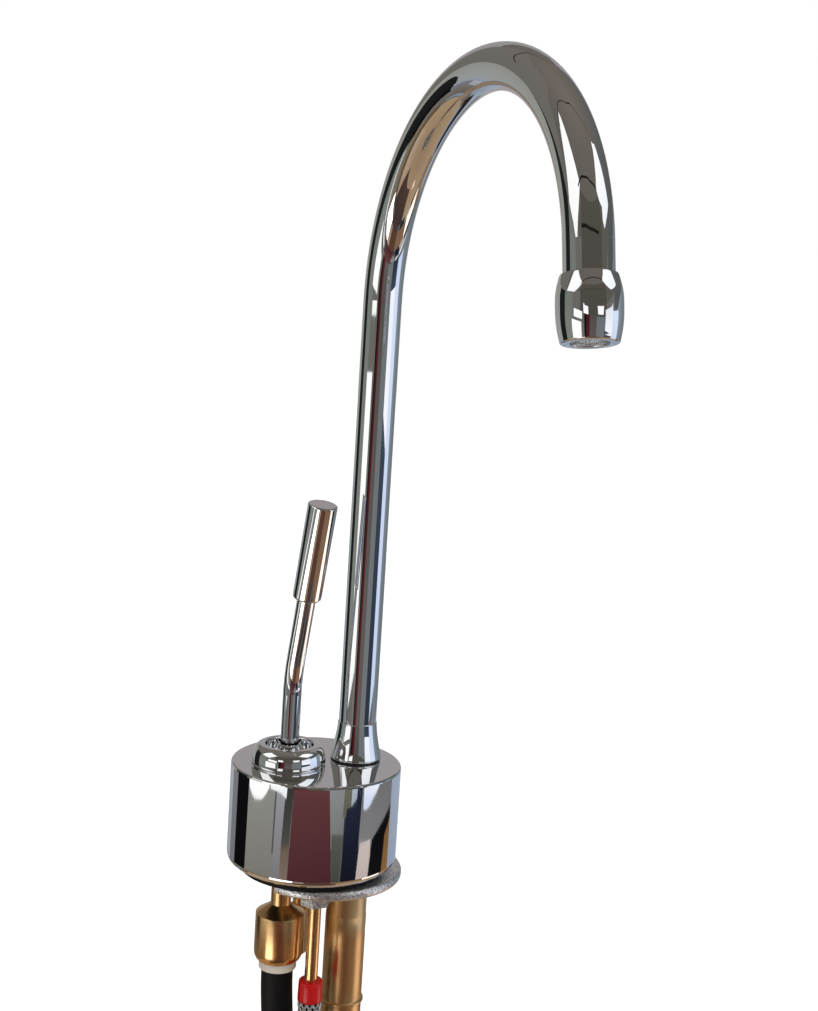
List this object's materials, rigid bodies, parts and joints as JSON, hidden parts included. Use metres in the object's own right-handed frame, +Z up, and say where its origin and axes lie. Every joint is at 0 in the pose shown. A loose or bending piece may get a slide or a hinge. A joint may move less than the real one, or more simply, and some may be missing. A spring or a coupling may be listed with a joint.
{
  "type": "boiling water tap",
  "caption": "Gooseneck boiling water mixer tap for a vented under-sink boiler, with a joystick lever, a swivelling spout and hoses that hang through the worktop.",
  "frame": {"origin": "centre of the drum body's bottom rim, in the plane where the rim stands on the worktop", "axes": "+Z up along the drum, -Y the way the spout reaches towards the user, +X from the lever towards the spout post"},
  "size_m": [0.0597, 0.1635, 0.6689],
  "materials": {
    "chrome": "mirror polished chrome plating over brass",
    "brass": "bare turned brass, satin",
    "zinc": "bright zinc plating with a fine speckle",
    "steel": "plain stainless steel",
    "braid": "woven stainless wire",
    "black_rubber": "matt black",
    "seal": "smooth black elastomer",
    "acetal": "moulded acetal",
    "ceramic": "lapped ceramic",
    "cream": "moulded cream plastic",
    "red": "glossy red shrink sleeve"
  },
  "bodies": {
    "base": {"tap_body": "chrome", "base_plate": "steel", "base_screws": "steel", "deck_gasket": "black_rubber", "valve_block": "brass", "clamp_plate": "zinc", "fixing_stud": "brass", "stud_washer": "steel", "fixing_nut": "brass", "spout_spigot": "brass", "spigot_o_rings": "seal", "slide_washer": "acetal", "bonnet": "chrome", "ball_seat": "steel", "cartridge_housing": "acetal", "cartridge_base": "acetal", "cartridge_seal": "seal", "port_gasket": "seal", "fixed_disc": "ceramic", "boiler_tail": "brass", "push_fitting": "brass", "fitting_o_ring": "seal", "grab_ring": "steel", "collet": "cream", "supply_hose": "black_rubber", "supply_ferrule": "steel", "supply_tail": "brass", "supply_washer": "seal", "supply_nut": "brass", "thin_tube": "brass", "gland_nut": "zinc", "red_sleeve": "red", "braided_hose": "braid", "braid_ferrule": "steel", "braid_tail": "brass", "braid_washer": "seal", "braid_nut": "brass"},
    "spout": {"spout_collar": "chrome", "spout_tube": "chrome", "swivel_screw": "steel", "nozzle_shell": "chrome", "nozzle_seal": "seal", "nozzle_spacer": "acetal", "flow_screen": "steel", "flow_straightener": "acetal"},
    "guide": {"turn_guide": "acetal", "pivot_pin": "steel"},
    "lever": {"lever_ball": "chrome", "lever_collar": "chrome", "lever_stem": "chrome", "lever_grip": "chrome", "grip_screw": "steel"},
    "disc": {"moving_disc": "ceramic", "disc_carrier": "acetal"}
  },
  "joints": [
    {"name": "spout_swivel", "type": "hinge", "parent": "base", "child": "spout", "pos_m": [0.014, 0, 0.0334], "axis": [0, 0, 1], "range_deg": [-120, 120]},
    {"name": "lever_turn", "type": "hinge", "parent": "base", "child": "guide", "pos_m": [-0.01, 0, 0.0334], "axis": [0, 0, 1], "range_deg": [-45, 45]},
    {"name": "lever_tilt", "type": "hinge", "parent": "guide", "child": "lever", "pos_m": [-0.01, 0, 0.0337], "axis": [1, 0, 0], "range_deg": [0, 18]},
    {"name": "disc_slide", "type": "slide", "parent": "guide", "child": "disc", "axis": [0, 1, 0], "range_m": [0, 0.00217]}
  ],
  "couplings": [
    {"joint": "disc_slide", "follows": "lever_tilt", "m_per_rad": 0.0068854}
  ]
}
